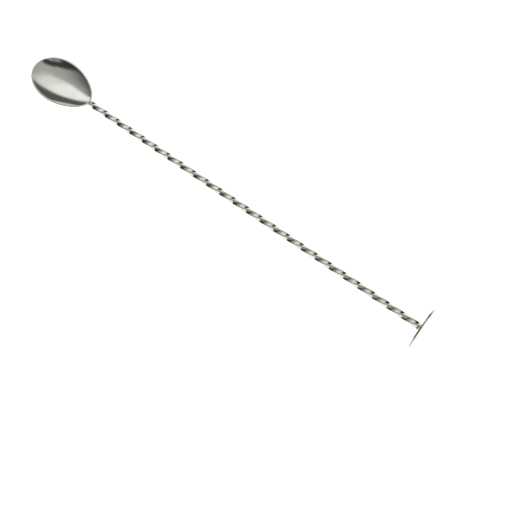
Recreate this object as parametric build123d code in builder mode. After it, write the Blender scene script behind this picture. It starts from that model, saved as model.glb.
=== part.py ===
from build123d import *

import os
from math import asin, atan, atan2, cos, degrees, hypot, radians, sin, tan

# Twisted bar spoon with a muddling disc, lying face up on a flat surface. Millimetres.
# +Z is up, +X runs from the bowl to the disc, and XZ is the plane of symmetry of the bowl.
# The origin is under the middle of the whole spoon, on the surface that it lies on: the
# lowest point of the bowl and the rim of the disc both touch z = 0.

# Bowl: pressed from sheet, egg-shaped in plan with its narrow end, the heel, at the stem.
bowl_length = 43.0
bowl_half_width = 13.7
bowl_height = 5.6
bowl_sheet = 1.2
bowl_rim_width = 1.5
bowl_rim_rounding = 0.25
bowl_egg = -0.138
bowl_taper = -0.052
bowl_fullness = 0.05

# Stem: square bar, twisted left-handed from just under the bowl's heel to close by the disc,
# with a face up at the start. The end under the bowl is cut from a longer blank: coped to the
# bowl above, and bevelled below.
bar_side = 3.3
bar_edge_rounding = 0.7
quarter_turns = 24.5
quarter_turn_length = 9.6
sections_per_quarter_turn = 4
twist_start = -1.4
stem_plain_end = 1.6
lap_blank = 8.0
lap_bevel_start = 3.0
lap_bevel_angle = 40.0
stem_axis_below_rim = 2.9

# Disc, and the tenon of the stem that sits in a blind bore in the disc's back.
disc_radius = 12.0
disc_thickness = 1.2
disc_edge_rounding = 0.15
tenon_radius = 1.25
tenon_length = 0.8

# Silver braze: a collar where the stem laps the bowl, and a fillet round the stem at the disc.
heel_braze_radius = 2.4
heel_braze_fade = 1.0
disc_braze_radius = 3.1
disc_braze_length = 1.2
braze_thin_radius = 1.75
braze_hollow = 0.2

# Distances along the axis of the stem, measured from the bowl's heel.
twist_length = quarter_turns * quarter_turn_length
twist_end = twist_start + twist_length
disc_back = twist_end + stem_plain_end
disc_front = disc_back + disc_thickness

# The stem rises towards the disc by the angle that sets the disc's rounded rim on z = 0.
heel_axis_height = bowl_height - stem_axis_below_rim
rim_along = disc_back + disc_edge_rounding
rim_across = disc_radius - disc_edge_rounding
stem_rise = atan2(rim_across, rim_along) - asin(
    (heel_axis_height - disc_edge_rounding) / hypot(rim_across, rim_along)
)

# The spoon reaches as far to the left of the origin as to the right.
disc_reach = (
    (disc_front - disc_edge_rounding) * cos(stem_rise)
    + rim_across * sin(stem_rise)
    + disc_edge_rounding
)
overall_length = bowl_length + disc_reach
heel_x = bowl_length - overall_length / 2
bowl_middle_x = heel_x - bowl_length / 2

stem_direction = Vector(cos(stem_rise), 0, sin(stem_rise))
stem_up = Vector(-sin(stem_rise), 0, cos(stem_rise))
heel_point = Vector(heel_x, 0, heel_axis_height)
stem_axis = Axis(heel_point, stem_direction)
stem_side_plane = Plane(heel_point, x_dir=stem_direction, z_dir=(0, -1, 0))
rim_plane = Plane.XY.offset(bowl_height)

# The bevel runs up from the bar's lowest face to the outside of the bowl.
bevel_plane = Plane(
    heel_point - stem_direction * lap_bevel_start - stem_up * bar_side / 2,
    z_dir=(
        stem_direction * sin(radians(lap_bevel_angle)) + stem_up * cos(radians(lap_bevel_angle))
    ),
)
above_bowl = 3 * bowl_height


def stem_plane(distance):
    """The plane square to the stem at a distance from the heel: x to +Y, y up, z to the disc."""
    return Plane(heel_point + stem_direction * distance, x_dir=(0, 1, 0), z_dir=stem_direction)


def bar_section(distance, turn=0):
    """The bar's rounded square section at a distance from the heel, with a face up or turned."""
    with BuildSketch(stem_plane(distance)) as section:
        Rectangle(bar_side, bar_side, rotation=-turn)
        fillet(vertices(), bar_edge_rounding)
    return section.sketch


def sharp_reach(reach):
    """How far the bowl's outer edge reaches before rounding, to reach this far when rounded."""
    sharp = reach
    for _ in range(20):
        edge_angle = atan(2 * bowl_height * (1 + bowl_fullness) / sharp)
        sharp = reach + bowl_rim_rounding * (1 / tan(edge_angle / 2) - 1)
    return sharp


def bowl_face(half_length, half_width, depth):
    """One dished side of the bowl, egg-shaped at the rim and carried on a little above it.

    s and t run from -1 to 1 between opposite points of the rim, where s*s + t*t is 1.
    """
    steps = 12
    reach = 1.15
    rows = []
    for i in range(steps + 1):
        s = reach * (2 * i / steps - 1)
        width = half_width * (1 + bowl_egg * s + bowl_taper * s * s)
        row = []
        for j in range(steps + 1):
            t = reach * (2 * j / steps - 1)
            out = s * s + t * t
            drop = depth * (1 - out) * (1 + bowl_fullness * out)
            row.append((bowl_middle_x + half_length * s, width * t, bowl_height - drop))
        rows.append(row)
    return Face.make_surface_from_array_of_points(rows, tol=0.001, max_deg=5)


outer_half_length = sharp_reach(bowl_length / 2)
outer_half_width = sharp_reach(bowl_half_width)
bowl_outside = bowl_face(outer_half_length, outer_half_width, bowl_height)
bowl_inside = bowl_face(
    outer_half_length - bowl_rim_width,
    outer_half_width - bowl_rim_width,
    bowl_height - bowl_sheet,
)

# Bowl: the space above the outer side, less the space above the inner side, up to the rim.
with BuildPart() as bowl:
    extrude(bowl_outside, amount=above_bowl, dir=(0, 0, 1))
    extrude(bowl_inside, amount=above_bowl, dir=(0, 0, 1), mode=Mode.SUBTRACT)
    split(bisect_by=rim_plane, keep=Keep.BOTTOM)
    fillet(bowl.faces().sort_by(Axis.Z)[-1].edges(), radius=bowl_rim_rounding)
bowl.part.label = "bowl"

# Stem: an end coped to the outside of the bowl, the twist, and a short plain end with a tenon.
with BuildPart() as twisted_stem:
    sections = int(quarter_turns * sections_per_quarter_turn)
    twist_sections = []
    for section in range(sections + 1):
        turned = section / sections
        distance = twist_start + twist_length * turned
        twist_sections.append(bar_section(distance, turn=90 * quarter_turns * turned))
    loft(twist_sections)
    extrude(bar_section(-lap_blank), amount=lap_blank + twist_start)
    extrude(bowl_outside, amount=above_bowl, dir=(0, 0, 1), mode=Mode.SUBTRACT)
    split(bisect_by=bevel_plane, keep=Keep.TOP)
    extrude(bar_section(twist_end, turn=90 * quarter_turns), amount=stem_plain_end)
    with BuildSketch(stem_plane(disc_back)):
        Circle(tenon_radius)
    extrude(amount=tenon_length)
twisted_stem.part.label = "twisted_stem"

# Disc: rounded at both edges, with a blind bore in its back for the tenon.
with BuildPart() as muddling_disc:
    with BuildSketch(stem_plane(disc_back)):
        Circle(disc_radius)
    extrude(amount=disc_thickness)
    fillet(muddling_disc.edges(), radius=disc_edge_rounding)
    with BuildSketch(stem_plane(disc_back)):
        Circle(tenon_radius)
    extrude(amount=tenon_length, mode=Mode.SUBTRACT)
muddling_disc.part.label = "muddling_disc"

# Heel braze: a collar round the lapped end of the stem, up against the outside of the bowl and
# bevelled along with it.
with BuildPart() as heel_braze:
    with BuildSketch(stem_side_plane):
        with BuildLine():
            Polyline(
                (twist_start, braze_thin_radius),
                (twist_start, 0),
                (-lap_blank, 0),
                (-lap_blank, heel_braze_radius),
                (twist_start - heel_braze_fade, heel_braze_radius),
                close=True,
            )
        make_face()
    revolve(axis=stem_axis)
    extrude(bowl_outside, amount=above_bowl, dir=(0, 0, 1), mode=Mode.SUBTRACT)
    extrude(bar_section(-lap_blank), amount=lap_blank + twist_start, mode=Mode.SUBTRACT)
    split(bisect_by=bevel_plane, keep=Keep.TOP)
heel_braze.part.label = "heel_braze"

# Disc braze: a hollow fillet round the plain end of the stem, on the back of the disc.
with BuildPart() as disc_braze:
    thin_end = Vector(disc_back - disc_braze_length, braze_thin_radius)
    wide_end = Vector(disc_back, disc_braze_radius)
    hollow_middle = (thin_end + wide_end) / 2 + Vector(braze_hollow, -braze_hollow)
    with BuildSketch(stem_side_plane):
        with BuildLine():
            Polyline(wide_end, (disc_back, 0), (disc_back - disc_braze_length, 0), thin_end)
            ThreePointArc(thin_end, hollow_middle, wide_end)
        make_face()
    revolve(axis=stem_axis)
    extrude(
        bar_section(twist_end, turn=90 * quarter_turns),
        amount=stem_plain_end,
        mode=Mode.SUBTRACT,
    )
disc_braze.part.label = "disc_braze"

os.makedirs("parts", exist_ok=True)
export_step(bowl.part, "parts/bowl.step")
export_step(twisted_stem.part, "parts/twisted_stem.step")
export_step(muddling_disc.part, "parts/muddling_disc.step")
export_step(heel_braze.part, "parts/heel_braze.step")
export_step(disc_braze.part, "parts/disc_braze.step")

print("overall length", round(overall_length, 2), "stem rise", round(degrees(stem_rise), 3))
print("heel x", heel_x, "heel axis height", heel_axis_height, "bowl middle x", bowl_middle_x)
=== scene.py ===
from math import atan, cos, hypot, pi, radians, sin, sqrt, tan

import bpy
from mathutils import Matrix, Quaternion, Vector


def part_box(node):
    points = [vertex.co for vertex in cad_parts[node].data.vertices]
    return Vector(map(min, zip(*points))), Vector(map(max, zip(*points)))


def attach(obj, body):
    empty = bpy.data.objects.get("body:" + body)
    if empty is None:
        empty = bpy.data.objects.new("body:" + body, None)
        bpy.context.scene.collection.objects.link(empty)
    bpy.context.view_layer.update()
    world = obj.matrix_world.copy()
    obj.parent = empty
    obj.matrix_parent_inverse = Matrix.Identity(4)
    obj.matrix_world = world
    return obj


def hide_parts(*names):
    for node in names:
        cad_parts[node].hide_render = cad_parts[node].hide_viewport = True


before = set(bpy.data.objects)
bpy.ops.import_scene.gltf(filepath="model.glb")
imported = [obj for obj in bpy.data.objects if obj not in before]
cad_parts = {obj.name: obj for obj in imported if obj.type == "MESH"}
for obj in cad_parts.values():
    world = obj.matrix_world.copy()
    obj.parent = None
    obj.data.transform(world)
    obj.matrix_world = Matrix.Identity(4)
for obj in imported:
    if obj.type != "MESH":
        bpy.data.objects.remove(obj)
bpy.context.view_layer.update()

# Looks of a twisted bar spoon with a muddling disc, lying face up on a white floor.
# Lengths are metres. +Z is up, +X runs from the bowl to the disc.
MM = 0.001
UP = Vector((0, 0, 1))

# Bowl: an egg-shaped dish of sheet steel, its flat rim rounded at both edges. The rim is shaded as
# a low dome: its normals lean away from its middle by RIM_DOME at both edges of the flat.
BOWL_SHEET = 1.2 * MM
BOWL_RIM_WIDTH = 1.5 * MM
BOWL_RIM_ROUNDING = 0.25 * MM
BOWL_EGG = -0.138
BOWL_TAPER = -0.052
BOWL_FULLNESS = 0.05
RIM_STEPS = 5
RIM_DOME = radians(18)

# A dish is meshed as a square patch in its middle with rings of faces round it.
PATCH_FACES = 40
PATCH_REACH = 0.45
PATCH_BULGE = 0.6
DISH_RINGS = 26

# Stem: a square bar twisted left-handed, a face up at the start and a corner up at the disc. The
# end under the bowl is coped to it above, and bevelled below.
BAR_SIDE = 3.3 * MM
BAR_EDGE_ROUNDING = 0.7 * MM
QUARTER_TURN_LENGTH = 9.6 * MM
QUARTER_TURNS = 24.5
TWIST_START = -1.4 * MM
STEM_PLAIN_END = 1.6 * MM
STEM_AXIS_BELOW_RIM = 2.9 * MM
LAP_BLANK = 8.0 * MM
LAP_BEVEL_START = 3.0 * MM
LAP_BEVEL_ANGLE = radians(40)
SECTION_SPACING = 0.2 * MM
COPED_RINGS = 4
LAP_STEPS = 20
FACET_STEPS = 8
CORNER_STEPS = 6

# The bar's corners are worn, and painted darker as shade, beyond this share of their reach.
WEAR_AND_SHADE_START = 0.92

# Disc, and the tenon that sits in the blind bore in its back.
DISC_THICKNESS = 1.2 * MM
DISC_EDGE_ROUNDING = 0.15 * MM
DISC_SEGMENTS = 160
DISC_FACE_STEPS = 12
DISC_EDGE_STEPS = 6
BORE_BANDS = 2
TENON_RADIUS = 1.25 * MM
TENON_LENGTH = 0.8 * MM

# Silver braze, at the heel of the bowl and on the back of the disc. It ends where it would stand
# less than BRAZE_LEAST above the bar, and its slope is measured over BRAZE_NUDGE to either side.
HEEL_BRAZE_RADIUS = 2.4 * MM
DISC_BRAZE_RADIUS = 3.1 * MM
DISC_BRAZE_LENGTH = 1.2 * MM
BRAZE_THIN = 1.75 * MM
BRAZE_FADE = 1.0 * MM
BRAZE_HOLLOW = 2.2
BRAZE_LEAST = 0.01 * MM
BRAZE_STEPS = 14
BRAZE_NUDGE = 0.01 * MM

# How many samples or rounds a search for a value takes.
EGG_SAMPLES = 1000
CORRECTIONS = 20
HALVINGS = 40


def egg(s):
    """How wide the bowl is at s, from -1 at its tip to 1 at its heel, before it is rounded off."""
    return 1 + BOWL_EGG * s + BOWL_TAPER * s * s


# The bowl's own measures, read from the frame.
bowl_low, bowl_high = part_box("bowl")
bowl_middle_x = (bowl_low.x + bowl_high.x) / 2
bowl_height = bowl_high.z
bowl_half_length = (bowl_high.x - bowl_low.x) / 2
egg_samples = [2 * i / EGG_SAMPLES - 1 for i in range(EGG_SAMPLES + 1)]
fullest = max(egg(s) * sqrt(1 - s * s) for s in egg_samples)
bowl_half_width = (bowl_high.y - bowl_low.y) / 2 / fullest

# The stem's axis, from the bowl's heel to the middle of the disc.
disc_low, disc_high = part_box("muddling_disc")
disc_radius = (disc_high.y - disc_low.y) / 2
disc_flat_radius = disc_radius - DISC_EDGE_ROUNDING
twist_rate = pi / 2 / QUARTER_TURN_LENGTH
twist_end = TWIST_START + QUARTER_TURNS * QUARTER_TURN_LENGTH
disc_back = twist_end + STEM_PLAIN_END
heel_axis_height = bowl_height - STEM_AXIS_BELOW_RIM
heel_point = Vector((bowl_high.x, 0, heel_axis_height))
disc_middle = (disc_low + disc_high) / 2
stem_direction = (disc_middle - heel_point).normalized()
across_stem = Vector((0, 1, 0))
above_stem = stem_direction.cross(across_stem)


def on_stem(distance, sideways=0.0, upwards=0.0):
    """A point at a distance along the stem's axis from the heel, and off it."""
    return heel_point + stem_direction * distance + across_stem * sideways + above_stem * upwards


def stem_vector(sideways, upwards, along=0.0):
    """A direction given by its shares across, above and along the stem."""
    return (across_stem * sideways + above_stem * upwards + stem_direction * along).normalized()


# ---------------------------------------------------------------- meshes


def add_piece(
    name, stands_for, points, normals, faces, hard_faces=(), wear_and_shade=(), places=()
):
    """A mesh with exact normals on its smooth faces, in place of one node of the frame.

    The second to last argument gives each point's share of wear and painted shade, from 0 to 1,
    and places is each point's position for its textures. Both are kept for the piece's material.
    """
    mesh = bpy.data.meshes.new(name)
    mesh.from_pydata(points, [], faces + list(hard_faces))
    mesh.polygons.foreach_set("use_smooth", [True] * len(mesh.polygons))
    corner_normals = []
    for polygon in mesh.polygons:
        hard = polygon.index >= len(faces)
        for vertex in polygon.vertices:
            corner_normals.append(polygon.normal if hard else normals[vertex])
    mesh.normals_split_custom_set(corner_normals)
    if wear_and_shade:
        mesh.attributes.new("wear_and_shade", "FLOAT", "POINT").data.foreach_set("value", wear_and_shade)
    if places:
        flat = [share for place in places for share in place]
        mesh.attributes.new("place", "FLOAT_VECTOR", "POINT").data.foreach_set("vector", flat)
    piece = bpy.data.objects.new(name, mesh)
    bpy.context.scene.collection.objects.link(piece)
    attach(piece, "root")
    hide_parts(stands_for)
    return piece


def joined_rings(first, second):
    """Quads between two closed rings of the same number of points."""
    count = len(first)
    return [
        (first[k], second[k], second[(k + 1) % count], first[(k + 1) % count])
        for k in range(count)
    ]


def sharp_reach(reach):
    """How far the bowl's outer edge reaches before rounding, to reach this far when rounded."""
    sharp = reach
    for _ in range(CORRECTIONS):
        edge_angle = atan(2 * bowl_height * (1 + BOWL_FULLNESS) / sharp)
        sharp = reach + BOWL_RIM_ROUNDING * (1 / tan(edge_angle / 2) - 1)
    return sharp


class Dish:
    """One side of the bowl. s and t run from -1 to 1, and s*s + t*t is 1 at the rim."""

    def __init__(self, half_length, half_width, depth):
        self.half_length = half_length
        self.half_width = half_width
        self.depth = depth

    def plan(self, s, t):
        """Where s and t lie, seen from above."""
        return bowl_middle_x + self.half_length * s, self.half_width * egg(s) * t

    def coordinates(self, x, y):
        """The s and t of a place seen from above."""
        s = (x - bowl_middle_x) / self.half_length
        return s, y / (self.half_width * egg(s))

    def height(self, x, y):
        s, t = self.coordinates(x, y)
        out = s * s + t * t
        return bowl_height - self.depth * (1 - out) * (1 + BOWL_FULLNESS * out)

    def slope(self, x, y):
        """How fast the height rises along X and Y."""
        s, t = self.coordinates(x, y)
        out = s * s + t * t
        rise = self.depth * (1 - BOWL_FULLNESS + 2 * BOWL_FULLNESS * out)
        narrowing = (BOWL_EGG + 2 * BOWL_TAPER * s) / (egg(s) * self.half_length)
        return (
            rise * (2 * s / self.half_length - 2 * t * t * narrowing),
            rise * 2 * t / (self.half_width * egg(s)),
        )

    def normal(self, x, y):
        along, across = self.slope(x, y)
        return Vector((-along, -across, 1)).normalized()

    def edge(self, s, t):
        """The sharp edge at the rim plane, the way out from it, and the slope's angle there."""
        x, y = self.plan(s, t)
        along, across = self.slope(x, y)
        outward = Vector((along, across, 0)).normalized()
        return Vector((x, y, bowl_height)), outward, atan(hypot(along, across))


outer_dish = Dish(sharp_reach(bowl_half_length), sharp_reach(bowl_half_width), bowl_height)
inner_dish = Dish(
    outer_dish.half_length - BOWL_RIM_WIDTH,
    outer_dish.half_width - BOWL_RIM_WIDTH,
    bowl_height - BOWL_SHEET,
)


def rim_places():
    """Places round the rim, in step with the sides of the patch in the dish's middle."""
    places = []
    for side in range(4):
        for step in range(PATCH_FACES):
            angle = pi / 2 * (side + step / PATCH_FACES) - 3 * pi / 4
            places.append((cos(angle), sin(angle)))
    return places


def outer_rim_arc(s, t):
    """Points and normals round the rim's outer edge, from the outer side up to the flat."""
    radius = BOWL_RIM_ROUNDING
    edge, outward, angle = outer_dish.edge(s, t)
    middle = edge - outward * (radius / tan(angle / 2)) - UP * radius
    arc = []
    for step in range(RIM_STEPS):
        turn = (angle - pi / 2) + (pi - angle) * step / RIM_STEPS
        normal = outward * cos(turn) + UP * sin(turn)
        arc.append((middle + normal * radius, normal))
    arc.append((middle + UP * radius, UP * cos(RIM_DOME) + outward * sin(RIM_DOME)))
    return arc


def inner_rim_arc(s, t):
    """Points and normals round the rim's inner edge, from the flat down to the inner side."""
    radius = BOWL_RIM_ROUNDING
    edge, outward, angle = inner_dish.edge(s, t)
    middle = edge + outward * (radius * tan(angle / 2)) - UP * radius
    arc = []
    for step in range(RIM_STEPS + 1):
        turn = angle * step / RIM_STEPS
        tilt = RIM_DOME + (angle - RIM_DOME) * step / RIM_STEPS
        point = middle + (UP * cos(turn) - outward * sin(turn)) * radius
        arc.append((point, UP * cos(tilt) - outward * sin(tilt)))
    return arc


def filled_disc(edge):
    """Points that fill the unit disc out to the edge, a list of 4 * PATCH_FACES points.

    With them come quads, and which of the points lie on the edge.
    """
    n = PATCH_FACES
    points = []
    index = {}
    for i in range(n + 1):
        for j in range(n + 1):
            a = 2 * i / n - 1
            b = 2 * j / n - 1
            index[i, j] = len(points)
            s = PATCH_REACH * a * sqrt(1 - PATCH_BULGE * b * b / 2)
            t = PATCH_REACH * b * sqrt(1 - PATCH_BULGE * a * a / 2)
            points.append((s, t))
    faces = []
    for i in range(n):
        for j in range(n):
            faces.append((index[i, j], index[i + 1, j], index[i + 1, j + 1], index[i, j + 1]))
    ring = [index[i, 0] for i in range(n)] + [index[n, j] for j in range(n)]
    ring += [index[i, n] for i in range(n, 0, -1)] + [index[0, j] for j in range(n, 0, -1)]
    inner = [points[k] for k in ring]
    for step in range(1, DISH_RINGS + 1):
        part = step / DISH_RINGS
        row = []
        for (s0, t0), (s1, t1) in zip(inner, edge):
            row.append(len(points))
            points.append((s0 + (s1 - s0) * part, t0 + (t1 - t0) * part))
        faces += joined_rings(ring, row)
        ring = row
    return points, faces, ring


def make_bowl():
    """The closed sheet: outer side, inner side, and the rounded rim between them."""
    outer_arcs = [outer_rim_arc(s, t) for s, t in rim_places()]
    inner_arcs = [inner_rim_arc(s, t) for s, t in rim_places()]
    points, normals, faces = [], [], []
    dish_edges = []
    for dish, arcs, start in ((outer_dish, outer_arcs, 0), (inner_dish, inner_arcs, -1)):
        edge = [dish.coordinates(*arc[start][0].xy) for arc in arcs]
        flat, quads, ring = filled_disc(edge)
        first = len(points)
        outside = dish is outer_dish
        for s, t in flat:
            x, y = dish.plan(s, t)
            points.append((x, y, dish.height(x, y)))
            normals.append(-dish.normal(x, y) if outside else dish.normal(x, y))
        for quad in quads:
            quad = tuple(first + k for k in quad)
            faces.append(quad[::-1] if outside else quad)
        dish_edges.append([first + k for k in ring])

    # The rim, from the outer dish's edge to the inner dish's. All of it is marked for wear and
    # painted shade: rougher, and its colour darkened as painted shade.
    ring, inner_edge = dish_edges
    dish_points = len(points)
    rim_rows = [[arc[step] for arc in outer_arcs] for step in range(1, RIM_STEPS + 1)]
    rim_rows += [[arc[step] for arc in inner_arcs] for step in range(RIM_STEPS)]
    for row in rim_rows:
        next_ring = []
        for point, normal in row:
            next_ring.append(len(points))
            points.append(point)
            normals.append(normal)
        faces += joined_rings(next_ring, ring)
        ring = next_ring
    faces += joined_rings(inner_edge, ring)
    wear_and_shade = [0.0] * dish_points + [1.0] * (len(points) - dish_points)
    return add_piece("bowl_shell", "bowl", points, normals, faces, wear_and_shade=wear_and_shade)


def bar_section():
    """Round the bar's rounded square section: sideways, upwards, and the normal's two shares."""
    straight = BAR_SIDE / 2 - BAR_EDGE_ROUNDING
    turns = [(straight * (2 * step / FACET_STEPS - 1), 0.0) for step in range(FACET_STEPS)]
    turns += [(straight, pi / 2 * step / CORNER_STEPS) for step in range(CORNER_STEPS)]
    section = []
    for side in range(4):
        quarter = pi / 2 * side
        for along, turn in turns:
            a = straight + BAR_EDGE_ROUNDING * cos(turn)
            b = along + BAR_EDGE_ROUNDING * sin(turn)
            section.append((
                a * cos(quarter) - b * sin(quarter),
                a * sin(quarter) + b * cos(quarter),
                cos(quarter + turn),
                sin(quarter + turn),
            ))
    return section


def turned(a, b, angle):
    """Two shares of a vector, turned by an angle."""
    return a * cos(angle) - b * sin(angle), a * sin(angle) + b * cos(angle)


flat_up = bar_section()
corner_up = [(*turned(a, b, pi / 4), *turned(na, nb, pi / 4)) for a, b, na, nb in flat_up]
bar_corner_reach = max(hypot(a, b) for a, b, _, _ in flat_up)


def coped_distance(sideways, upwards, radius_at=None):
    """Where a line along the stem meets the outside of the bowl, or the bevel under the lap.

    It is a distance from the heel. With radius_at, the line runs along a surface of that radius.
    """
    low, high = -LAP_BLANK, 0.0
    for _ in range(HALVINGS):
        middle = (low + high) / 2
        reach = radius_at(middle) if radius_at else 1.0
        point = on_stem(middle, sideways * reach, upwards * reach)
        if point.z < outer_dish.height(point.x, point.y):
            high = middle
        else:
            low = middle
    upwards *= radius_at(high) if radius_at else 1.0
    bevelled = -LAP_BEVEL_START - (upwards + BAR_SIDE / 2) / tan(LAP_BEVEL_ANGLE)
    return max(high, bevelled)


class Bar:
    """A mesh built ring by ring, from a point in the middle of one end to one in the other's.

    A ring is a row of points, each with its normal and its place for the textures.
    """

    def __init__(self, point, normal, place):
        self.points = [point]
        self.normals = [normal]
        self.places = [place]
        self.faces = []
        self.hard_faces = []
        self.ring = None

    def add_ring(self, row, hard=False):
        ring = range(len(self.points), len(self.points) + len(row))
        for point, normal, place in row:
            self.points.append(point)
            self.normals.append(normal)
            self.places.append(place)
        if self.ring is None:
            count = len(ring)
            self.hard_faces += [(0, ring[(k + 1) % count], ring[k]) for k in range(count)]
        elif hard:
            self.hard_faces += joined_rings(ring, self.ring)
        else:
            self.faces += joined_rings(ring, self.ring)
        self.ring = ring

    def close(self, point, normal, place):
        centre = len(self.points)
        self.points.append(point)
        self.normals.append(normal)
        self.places.append(place)
        ring, count = self.ring, len(self.ring)
        self.hard_faces += [(centre, ring[k], ring[(k + 1) % count]) for k in range(count)]


def make_stem():
    """The bar, from its end coped to the bowl to its tenon in the disc."""
    coped_middle = coped_distance(0, 0)
    bar = Bar(on_stem(coped_middle), -stem_direction, (coped_middle, 0, 0))

    # The coped end: rings that widen from the middle, against the bowl and on the bevel.
    for step in range(1, COPED_RINGS + 1):
        share = step / COPED_RINGS
        row = []
        for a, b, normal_a, normal_b in flat_up:
            distance = coped_distance(a * share, b * share)
            point = on_stem(distance, a * share, b * share)
            place = (distance, a * share, b * share)
            row.append((point, stem_vector(normal_a, normal_b), place))
        bar.add_ring(row, hard=True)

    # The plain end under the bowl, its rings spread between the coped end and the twist.
    for step in range(1, LAP_STEPS):
        row = []
        for a, b, normal_a, normal_b in flat_up:
            first = coped_distance(a, b)
            distance = first + (TWIST_START - first) * step / LAP_STEPS
            point = on_stem(distance, a, b)
            row.append((point, stem_vector(normal_a, normal_b), (distance, a, b)))
        bar.add_ring(row)

    # The twist, and the plain end at the disc.
    count = round((disc_back - TWIST_START) / SECTION_SPACING)
    for step in range(count + 1):
        distance = TWIST_START + (disc_back - TWIST_START) * step / count
        angle = twist_rate * (TWIST_START - min(distance, twist_end))
        rate = twist_rate if TWIST_START < distance < twist_end else 0
        row = []
        for a, b, normal_a, normal_b in flat_up:
            sideways, upwards = turned(a, b, angle)
            facing_side, facing_up = turned(normal_a, normal_b, angle)
            lean = rate * (facing_up * sideways - facing_side * upwards)
            normal = stem_vector(facing_side, facing_up, lean)
            row.append((on_stem(distance, sideways, upwards), normal, (distance, a, b)))
        bar.add_ring(row)

    # The shoulder and the tenon.
    end_angle = twist_rate * (TWIST_START - twist_end)
    tenon_end = disc_back + TENON_LENGTH
    for distance in (disc_back, tenon_end):
        row = []
        for a, b, _, _ in flat_up:
            sideways, upwards = turned(a, b, end_angle)
            reach = TENON_RADIUS / hypot(a, b)
            point = on_stem(distance, sideways * reach, upwards * reach)
            row.append((point, stem_vector(sideways, upwards), (distance, a * reach, b * reach)))
        bar.add_ring(row, hard=True)
    bar.close(on_stem(tenon_end), stem_direction, (tenon_end, 0, 0))

    # The bar's corners are marked for wear and painted shade, from 0 to 1.
    wear_and_shade = []
    for _, a, b in bar.places:
        share = (hypot(a, b) / bar_corner_reach - WEAR_AND_SHADE_START) / (1 - WEAR_AND_SHADE_START)
        wear_and_shade.append(max(share, 0.0))
    return add_piece(
        "twisted_bar", "twisted_stem", bar.points, bar.normals, bar.faces,
        bar.hard_faces, wear_and_shade, bar.places,
    )


def disc_profile():
    """The disc's outline, from the middle of the bore's end to the middle of the front.

    Each point has its distance from the heel, its radius, and its normal's shares along the stem
    and out from it.
    """
    rounding = DISC_EDGE_ROUNDING
    back, front = disc_back, disc_back + DISC_THICKNESS
    bore_end = back + TENON_LENGTH
    profile = [(bore_end, 0.0, -1, 0), (bore_end, TENON_RADIUS, -1, 0)]
    for step in range(DISC_FACE_STEPS + 1):
        radius = TENON_RADIUS + (disc_flat_radius - TENON_RADIUS) * step / DISC_FACE_STEPS
        profile.append((back, radius, -1, 0))
    for middle, quarter, first_step in ((back + rounding, -1, 1), (front - rounding, 0, 0)):
        for step in range(first_step, DISC_EDGE_STEPS + 1):
            turn = pi / 2 * (quarter + step / DISC_EDGE_STEPS)
            along, out = sin(turn), cos(turn)
            distance = middle + rounding * along
            profile.append((distance, disc_flat_radius + rounding * out, along, out))
    for step in range(1, DISC_FACE_STEPS + 1):
        profile.append((front, disc_flat_radius * (1 - step / DISC_FACE_STEPS), 1, 0))
    return profile


def make_disc():
    """The disc, turned round the stem's axis, with the blind bore in its back."""
    points, normals, wear_and_shade, places, faces, hard_faces = [], [], [], [], [], []
    rings = []
    for distance, radius, along, out in disc_profile():
        ring = []
        for k in range(DISC_SEGMENTS if radius else 1):
            angle = 2 * pi * k / DISC_SEGMENTS
            ring.append(len(points))
            points.append(on_stem(distance, radius * cos(angle), radius * sin(angle)))
            normals.append(stem_vector(out * cos(angle), out * sin(angle), along))
            # The rounded edge is marked for wear and painted shade.
            wear_and_shade.append(float(radius > disc_flat_radius))
            places.append((distance, radius, 0))
        rings.append(ring)

    # The bore's end and side are flat faces with hard edges. A ring of one point is a middle.
    for band, (ring, next_ring) in enumerate(zip(rings, rings[1:])):
        if len(ring) == 1:
            band_faces = [
                (next_ring[k], next_ring[k - 1], ring[0]) for k in range(DISC_SEGMENTS)
            ]
        elif len(next_ring) == 1:
            band_faces = [(next_ring[0], ring[k - 1], ring[k]) for k in range(DISC_SEGMENTS)]
        else:
            band_faces = joined_rings(next_ring, ring)
        if band < BORE_BANDS:
            hard_faces += band_faces
        else:
            faces += band_faces
    return add_piece(
        "disc_plate", "muddling_disc", points, normals, faces, hard_faces,
        wear_and_shade, places,
    )


def lasting(radius_at, bar_radius, inside, outside):
    """How far towards outside the braze still stands above the bar's surface."""
    if radius_at(outside) > bar_radius + BRAZE_LEAST:
        return outside
    for _ in range(HALVINGS):
        middle = (inside + outside) / 2
        if radius_at(middle) > bar_radius + BRAZE_LEAST:
            inside = middle
        else:
            outside = middle
    return inside


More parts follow.
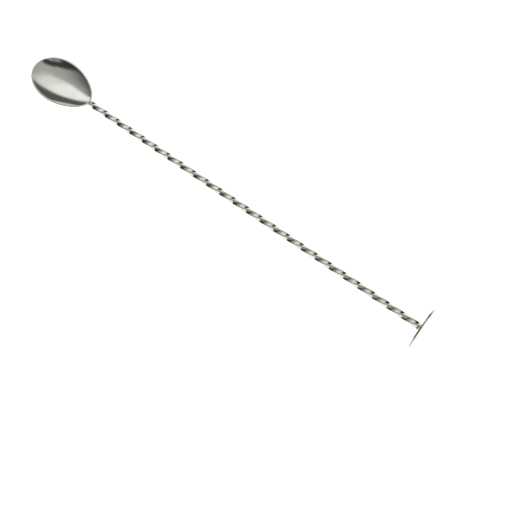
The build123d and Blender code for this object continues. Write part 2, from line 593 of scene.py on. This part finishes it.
def make_braze(name, stands_for, section, radius_at, start, end, coped):
    """A ring of braze round the plain bar: outside by radius_at, inside against the bar.

    Each line along it runs between start and end, and stops where the braze meets the bar's
    surface. A coped ring starts on the outside of the bowl instead.
    """
    points, normals, faces, hard_faces = [], [], [], []
    lines = []
    for a, b, normal_a, normal_b in section:
        bar_radius = hypot(a, b)
        side, up = a / bar_radius, b / bar_radius
        if coped:
            first = coped_distance(side, up, radius_at)
            last = lasting(radius_at, bar_radius, start, end)
            inner_first = coped_distance(a, b)
        else:
            first = inner_first = lasting(radius_at, bar_radius, end, start)
            last = end
        line = []
        for step in range(BRAZE_STEPS + 1):
            distance = first + (last - first) * step / BRAZE_STEPS
            radius = radius_at(distance)
            rise = radius_at(distance + BRAZE_NUDGE) - radius_at(distance - BRAZE_NUDGE)
            line.append(len(points))
            points.append(on_stem(distance, radius * side, radius * up))
            normals.append(stem_vector(side, up, -rise / (2 * BRAZE_NUDGE)))
        for step in range(BRAZE_STEPS + 1):
            distance = last + (inner_first - last) * step / BRAZE_STEPS
            line.append(len(points))
            points.append(on_stem(distance, a, b))
            normals.append(-stem_vector(normal_a, normal_b))
        lines.append(line)

    # Quads between the lines, all smooth but for those between the outside and the inside.
    for line, next_line in zip(lines, lines[1:] + lines[:1]):
        count = len(line)
        for j in range(count):
            quad = (line[j], next_line[j], next_line[(j + 1) % count], line[(j + 1) % count])
            if j in (BRAZE_STEPS, count - 1):
                hard_faces.append(quad)
            else:
                faces.append(quad)
    return add_piece(name, stands_for, points, normals, faces, hard_faces)


def heel_braze_radius(distance):
    """Thick under the bowl, and drawn in before the start of the twist."""
    share = min(max((TWIST_START - distance) / BRAZE_FADE, 0), 1)
    return BRAZE_THIN + (HEEL_BRAZE_RADIUS - BRAZE_THIN) * share * share * (3 - 2 * share)


def disc_braze_radius(distance):
    """Hollow, from thin on the stem to wide on the disc."""
    share = min(max((distance - disc_back + DISC_BRAZE_LENGTH) / DISC_BRAZE_LENGTH, 0), 1)
    return BRAZE_THIN + (DISC_BRAZE_RADIUS - BRAZE_THIN) * share ** BRAZE_HOLLOW


bowl = make_bowl()
stem = make_stem()
disc = make_disc()
heel_braze = make_braze(
    "heel_fillet",
    "heel_braze",
    flat_up,
    heel_braze_radius,
    TWIST_START - BRAZE_FADE,
    TWIST_START,
    coped=True,
)
disc_braze = make_braze(
    "disc_fillet",
    "disc_braze",
    corner_up,
    disc_braze_radius,
    disc_back - DISC_BRAZE_LENGTH,
    disc_back,
    coped=False,
)

# ---------------------------------------------------------------- materials

STEEL = (0.72, 0.715, 0.685)
# Steel where it is worn, darkened as painted shade on the bowl's rim and the bar's corners.
WORN_STEEL_WITH_PAINTED_SHADE = (0.58, 0.575, 0.55)
STEM_STEEL = (0.64, 0.625, 0.57)
# The disc's rounded edge: a darker colour that is painted shade.
DISC_EDGE_PAINTED_SHADE = (0.47, 0.46, 0.42)
BRAZE = (0.70, 0.67, 0.58)

# Textures: how many features they have per metre along each axis, how detailed they are, the
# part of their range that shows, and how much they change the metal.
CLOUD_STRETCH = (70, 110, 110)
CLOUD_DETAIL = 2.0
CLOUD_RANGE = (0.3, 0.7)
CLOUD_CONTRAST = 0.93
SMUDGE_STRETCH = (260, 320, 320)
SMUDGE_DETAIL = 3.0
SMUDGE_RANGE = (0.35, 0.7)
SMUDGE_ROUGHNESS = 0.05
LINE_DETAIL = 3.0
LINE_RANGE = (0.5, 0.8)
LINE_ROUGHNESS = 0.05
LINE_DEPTH = 0.0008 * MM


def add_node(tree, kind, settings, *inputs):
    """A node with its settings and its inputs, each a value or another node's output."""
    node = tree.nodes.new(kind)
    for key, value in settings.items():
        setattr(node, key, value)
    for socket, value in zip(node.inputs, inputs):
        if isinstance(value, bpy.types.NodeSocket):
            tree.links.new(value, socket)
        else:
            socket.default_value = value
    return node


def calculated(tree, operation, *inputs):
    return add_node(tree, "ShaderNodeMath", {"operation": operation}, *inputs).outputs[0]


def smooth_step(tree, value, low, high):
    """From 0 below low to 1 above high."""
    settings = {"interpolation_type": "SMOOTHSTEP"}
    return add_node(tree, "ShaderNodeMapRange", settings, value, low, high).outputs["Result"]


def dot(tree, vector, axis):
    settings = {"operation": "DOT_PRODUCT"}
    return add_node(tree, "ShaderNodeVectorMath", settings, vector, axis).outputs["Value"]


def noise(tree, place, stretch, detail):
    """Noise with features of these numbers per metre along each axis, from about 0 to 1."""
    settings = {"operation": "MULTIPLY"}
    scaled = add_node(tree, "ShaderNodeVectorMath", settings, place, stretch).outputs["Vector"]
    node = tree.nodes.new("ShaderNodeTexNoise")
    tree.links.new(scaled, node.inputs["Vector"])
    node.inputs["Scale"].default_value = 1.0
    node.inputs["Detail"].default_value = detail
    return node.outputs["Fac"]


def mixed(tree, share, first, second):
    """A colour between two, each a triple or another node's colour."""
    node = tree.nodes.new("ShaderNodeMix")
    node.data_type = "RGBA"
    tree.links.new(share, node.inputs["Factor"])
    for socket, colour in ((node.inputs["A"], first), (node.inputs["B"], second)):
        if isinstance(colour, bpy.types.NodeSocket):
            tree.links.new(colour, socket)
        else:
            socket.default_value = (*colour, 1)
    return node.outputs["Result"]


def object_place(tree):
    return add_node(tree, "ShaderNodeTexCoord", {}).outputs["Object"]


def kept_place(tree):
    """The places kept with the mesh."""
    return add_node(tree, "ShaderNodeAttribute", {"attribute_name": "place"}).outputs["Vector"]


def kept_wear_and_shade(tree):
    """How much the mesh is worn and painted darker as shade, from 0 to 1."""
    return add_node(tree, "ShaderNodeAttribute", {"attribute_name": "wear_and_shade"}).outputs["Fac"]


def polished_metal(
    piece, colour, roughness, line_place, line_stretch, wear_and_shade_colour=None, worn_roughness=0.0
):
    """Polished metal: cloudy colour, fine lines left by polishing, smudges, and worn edges
    darkened as painted shade.

    roughness is the polish between the lines and smudges, and worn_roughness is added to it where
    the metal is worn. There the colour is also painted darker, as shade. line_place gives the
    lines' place, in the material's tree.
    """
    material = bpy.data.materials.new(piece.name + "_metal")
    material.use_nodes = True
    piece.data.materials.append(material)
    tree = material.node_tree
    shader = tree.nodes["Principled BSDF"]
    shader.inputs["Metallic"].default_value = 1.0
    spot = object_place(tree)
    clouds = smooth_step(tree, noise(tree, spot, CLOUD_STRETCH, CLOUD_DETAIL), *CLOUD_RANGE)
    lines = noise(tree, line_place(tree), line_stretch, LINE_DETAIL)
    smudges = smooth_step(tree, noise(tree, spot, SMUDGE_STRETCH, SMUDGE_DETAIL), *SMUDGE_RANGE)
    seen_colour = mixed(tree, clouds, [share * CLOUD_CONTRAST for share in colour], colour)
    seen_roughness = calculated(
        tree,
        "ADD",
        calculated(tree, "MULTIPLY_ADD", smudges, SMUDGE_ROUGHNESS, roughness),
        calculated(tree, "MULTIPLY", smooth_step(tree, lines, *LINE_RANGE), LINE_ROUGHNESS),
    )
    # Where worn, the colour is painted darker as shade and the polish is made rougher.
    if wear_and_shade_colour:
        wear_and_shade_mask = kept_wear_and_shade(tree)
        seen_colour = mixed(tree, wear_and_shade_mask, seen_colour, wear_and_shade_colour)
        rougher = calculated(tree, "MULTIPLY", wear_and_shade_mask, worn_roughness)
        seen_roughness = calculated(tree, "ADD", seen_roughness, rougher)
    tree.links.new(seen_colour, shader.inputs["Base Color"])
    tree.links.new(seen_roughness, shader.inputs["Roughness"])
    bump = tree.nodes.new("ShaderNodeBump")
    bump.inputs["Strength"].default_value = 1.0
    bump.inputs["Distance"].default_value = LINE_DEPTH
    tree.links.new(lines, bump.inputs["Height"])
    tree.links.new(bump.outputs["Normal"], shader.inputs["Normal"])


polished_metal(
    bowl,
    STEEL,
    roughness=0.07,
    line_place=object_place,
    line_stretch=(180, 2600, 2600),
    wear_and_shade_colour=WORN_STEEL_WITH_PAINTED_SHADE,
    worn_roughness=0.3,
)
polished_metal(
    stem,
    STEM_STEEL,
    roughness=0.09,
    line_place=kept_place,
    line_stretch=(120, 2400, 2400),
    wear_and_shade_colour=WORN_STEEL_WITH_PAINTED_SHADE,
    worn_roughness=0.12,
)
polished_metal(
    disc,
    STEEL,
    roughness=0.12,
    line_place=kept_place,
    line_stretch=(40, 3000, 40),
    wear_and_shade_colour=DISC_EDGE_PAINTED_SHADE,
    worn_roughness=0.2,
)
for braze in (heel_braze, disc_braze):
    polished_metal(
        braze, BRAZE, roughness=0.16, line_place=object_place, line_stretch=(900, 900, 900)
    )

# ---------------------------------------------------------------- studio

# The floor glows like a light table. It lies just under the spoon.
FLOOR_SIZE = 40.0
FLOOR_DROP = 0.02 * MM
FLOOR_SHADE = 0.4
FLOOR_GLOW = 1.15

# The studio's light: soft cards round the spoon, laid one over another on a dim gradient. Each
# is given by its corners, as azimuth from +X towards +Y and elevation in degrees, the softness
# of its edges in degrees, its brightness and its tint. The gradient's low and high ends are at
# heights on the studio's sphere, whose top is at 1.
WHITE = (1, 1, 1)
CREAM = (1, 0.99, 0.94)
TAUPE = (1, 0.957, 0.77)
STUDIO_LOW = 0.12
STUDIO_HIGH = 0.50
STUDIO_LOW_HEIGHT = 0.2
STUDIO_HIGH_HEIGHT = 1.1
CARDS = {
    "far_low": (((66, -8), (160, -8), (160, 24), (66, 40)), 5, 0.12, CREAM),
    "far_right": (((50, -8), (99, -8), (97, 34), (50, 38)), 4, 0.03, CREAM),
    "left_halo": (((178, 28), (-162, 24), (-145, 84), (178, 88)), 13, 0.5, CREAM),
    "key_side": (((110, 34), (78, 36), (68, 60), (60, 80), (150, 84)), 9, 0.68, CREAM),
    "key": (((178, 5), (104, 34), (88, 41), (88, 72), (150, 80), (-170, 64)), 7, 0.92, CREAM),
    "key_core": (((178, 10), (118, 35), (112, 52), (140, 66), (-176, 58)), 8, 1.16, WHITE),
    "near_flag": (((-84, 66), (-106, 66), (-132, 24), (-122, 5), (-88, 5)), 3, 0.05, CREAM),
    "heel_flag": (((-108, 0), (-126, 31), (-144, 17), (-152, 6), (-152, -6)), 3, 0.04, CREAM),
    "near_gap": (((-104, 48), (-93, 46), (-84, 58), (-90, 61)), 3, 0.35, CREAM),
    "camera_stand": (((-30, 77), (-104, 69), (-92, 61), (-30, 62)), 3, 0.05, CREAM),
    "near_low": (((-50, -25), (-99, -25), (-99, 47), (-50, 47)), 9, 0.48, TAUPE),
}


def make_floor():
    mesh = bpy.data.meshes.new("floor")
    half = FLOOR_SIZE / 2
    corners = [(-half, -half, 0), (half, -half, 0), (half, half, 0), (-half, half, 0)]
    mesh.from_pydata(corners, [], [(0, 1, 2, 3)])
    floor = bpy.data.objects.new("floor", mesh)
    floor.location.z = -FLOOR_DROP
    bpy.context.scene.collection.objects.link(floor)
    material = bpy.data.materials.new("floor_white")
    material.use_nodes = True
    shader = material.node_tree.nodes["Principled BSDF"]
    shader.inputs["Base Color"].default_value = (FLOOR_SHADE, FLOOR_SHADE, FLOOR_SHADE, 1)
    shader.inputs["Emission Color"].default_value = (1, 1, 1, 1)
    shader.inputs["Emission Strength"].default_value = FLOOR_GLOW
    mesh.materials.append(material)


def direction(azimuth, elevation):
    """The way to a place on the studio's sphere, from its angles in degrees."""
    azimuth, elevation = radians(azimuth), radians(elevation)
    level = cos(elevation)
    return Vector((level * cos(azimuth), level * sin(azimuth), sin(elevation)))


def card_cover(tree, place, corners, softness):
    """How much a card covers a place, from 0 to 1: it is inside the great circles of all sides."""
    ways = [direction(*corner) for corner in corners]
    middle = sum(ways, Vector())
    edge = sin(radians(softness))
    cover = None
    for first, second in zip(ways, ways[1:] + ways[:1]):
        inward = first.cross(second).normalized()
        if inward.dot(middle) < 0:
            inward = -inward
        inside = smooth_step(tree, dot(tree, place, inward), -edge, edge)
        cover = inside if cover is None else calculated(tree, "MULTIPLY", cover, inside)
    return cover


def make_studio():
    world = bpy.data.worlds.new("studio")
    bpy.context.scene.world = world
    world.use_nodes = True
    tree = world.node_tree
    place = add_node(tree, "ShaderNodeTexCoord", {}).outputs["Generated"]
    light = mixed(
        tree,
        smooth_step(tree, dot(tree, place, UP), STUDIO_LOW_HEIGHT, STUDIO_HIGH_HEIGHT),
        [STUDIO_LOW * share for share in CREAM],
        [STUDIO_HIGH * share for share in CREAM],
    )
    for corners, softness, brightness, tint in CARDS.values():
        cover = card_cover(tree, place, corners, softness)
        light = mixed(tree, cover, light, [brightness * share for share in tint])
    tree.links.new(light, tree.nodes["Background"].inputs["Color"])
    tree.nodes["Background"].inputs["Strength"].default_value = 1


make_floor()
make_studio()
bpy.context.scene.view_settings.view_transform = "Standard"

# ---------------------------------------------------------------- camera

# The lens and the sensor are in millimetres.
CAMERA_AIM = Vector((41.83, -18.52, 4.0)) * MM
CAMERA_DISTANCE = 536.2 * MM
CAMERA_AZIMUTH = radians(45.3)
CAMERA_ELEVATION = radians(73.44)
CAMERA_ROLL = radians(-8.98)
CAMERA_LENS = 66.37
CAMERA_SENSOR = 36
CAMERA_NEAREST = 0.01
CAMERA_FARTHEST = 20


def make_camera():
    data = bpy.data.cameras.new("camera")
    camera = bpy.data.objects.new("camera", data)
    bpy.context.scene.collection.objects.link(camera)
    bpy.context.scene.camera = camera
    back = Vector((
        sin(CAMERA_AZIMUTH) * cos(CAMERA_ELEVATION),
        -cos(CAMERA_AZIMUTH) * cos(CAMERA_ELEVATION),
        sin(CAMERA_ELEVATION),
    ))
    camera.location = CAMERA_AIM + back * CAMERA_DISTANCE
    level = (-back).to_track_quat("-Z", "Y")
    camera.rotation_mode = "QUATERNION"
    camera.rotation_quaternion = level @ Quaternion((0, 0, 1), CAMERA_ROLL)
    data.lens = CAMERA_LENS
    data.sensor_width = CAMERA_SENSOR
    data.clip_start = CAMERA_NEAREST
    data.clip_end = CAMERA_FARTHEST


make_camera()
